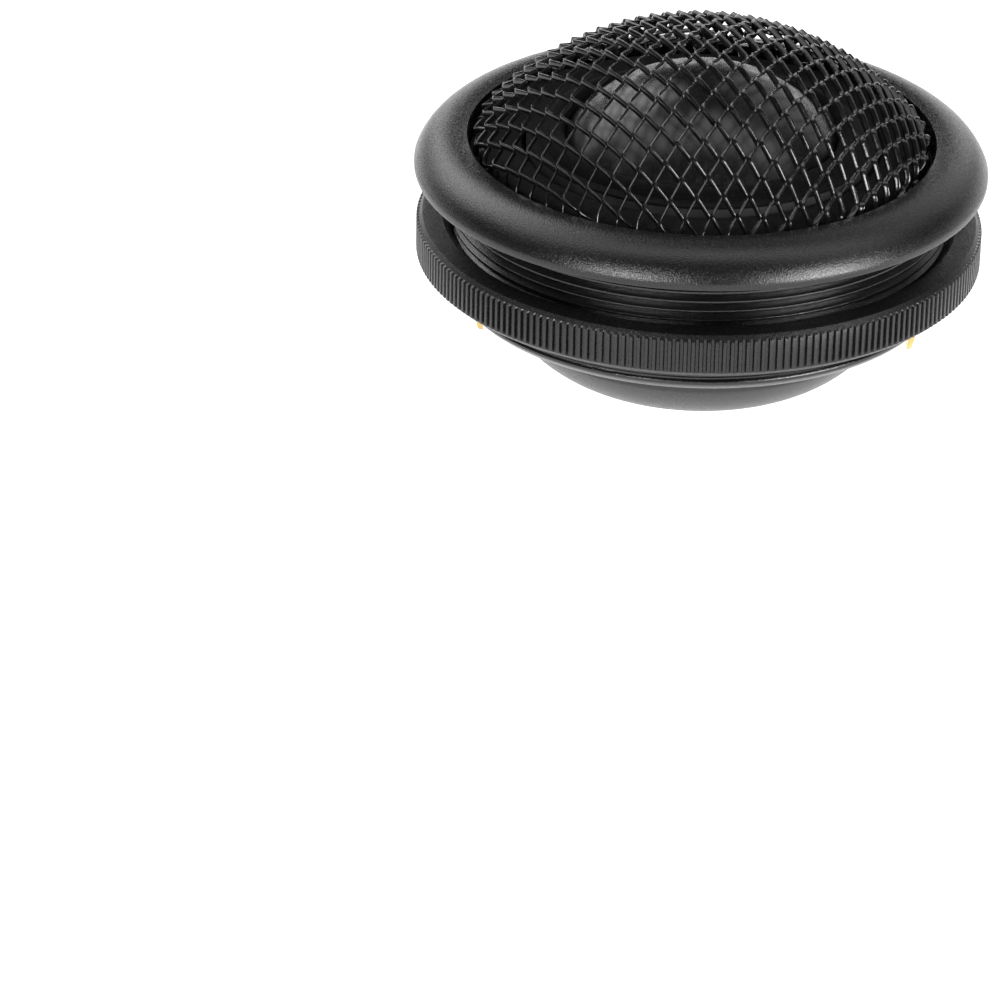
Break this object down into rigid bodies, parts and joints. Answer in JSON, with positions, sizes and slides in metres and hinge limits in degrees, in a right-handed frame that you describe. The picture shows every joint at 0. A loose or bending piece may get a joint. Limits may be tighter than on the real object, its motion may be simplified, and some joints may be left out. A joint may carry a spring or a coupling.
{
  "type": "car dome tweeter",
  "caption": "Round flush-mount dome tweeter for a car, with a domed diamond-mesh guard, a threaded barrel, a knurled locking ring and a domed rear cap with brass tabs.",
  "frame": {"origin": "on the tweeter's axis, in the plane of the flange's rear face, where it sits on the panel", "axes": "+Z is the direction the tweeter plays in; the two terminal tabs stand on the X axis, the wide one on +X"},
  "size_m": [0.06, 0.06, 0.0381],
  "materials": {
    "housing": "satin black anodised",
    "grille_mesh": "gloss black",
    "front_felt_ring": "matte felt",
    "faceplate": "smooth satin",
    "faceplate_screws": "blackened",
    "dome_diaphragm": "coated silk, semi-gloss",
    "surround": "coated silk, semi-gloss",
    "diaphragm_ring": "matte",
    "voice_coil_former": "plain",
    "voice_coil_winding": "enamelled copper",
    "lead_wire_positive": "insulated wire",
    "lead_wire_negative": "insulated wire",
    "top_plate": "zinc plated",
    "pole_plate": "zinc plated",
    "copper_cap": "copper",
    "magnet": "nickel plated",
    "motor_cup": "zinc plated",
    "dome_damping_foam": "open foam",
    "rear_plate": "satin black",
    "terminal_positive": "gold plated",
    "terminal_negative": "gold plated",
    "terminal_rivets": "plain",
    "rear_cap": "satin black anodised",
    "badge_disc": "satin black with pale print",
    "chamber_wadding": "polyester wadding",
    "locking_ring": "satin black anodised, knurled"
  },
  "bodies": {
    "tweeter": {"housing": "housing", "grille_mesh": "grille_mesh", "front_felt_ring": "front_felt_ring", "faceplate": "faceplate", "faceplate_screws": "faceplate_screws", "surround": "surround", "diaphragm_ring": "diaphragm_ring", "lead_wire_positive": "lead_wire_positive", "lead_wire_negative": "lead_wire_negative", "top_plate": "top_plate", "pole_plate": "pole_plate", "copper_cap": "copper_cap", "magnet": "magnet", "motor_cup": "motor_cup", "dome_damping_foam": "dome_damping_foam", "rear_plate": "rear_plate", "terminal_positive": "terminal_positive", "terminal_negative": "terminal_negative", "terminal_rivets": "terminal_rivets", "rear_cap": "rear_cap", "badge_disc": "badge_disc", "chamber_wadding": "chamber_wadding"},
    "ring": {"locking_ring": "locking_ring"},
    "diaphragm": {"dome_diaphragm": "dome_diaphragm", "voice_coil_former": "voice_coil_former", "voice_coil_winding": "voice_coil_winding"}
  },
  "joints": [
    {"name": "ring_travel", "type": "slide", "parent": "tweeter", "child": "ring", "axis": [0, 0, 1], "range_m": [-0.0195, 0.0051]},
    {"name": "dome_travel", "type": "slide", "parent": "tweeter", "child": "diaphragm", "axis": [0, 0, 1], "range_m": [-0.0004, 0.0004], "stiffness_N_per_m": 200, "deforming": ["surround"]}
  ]
}
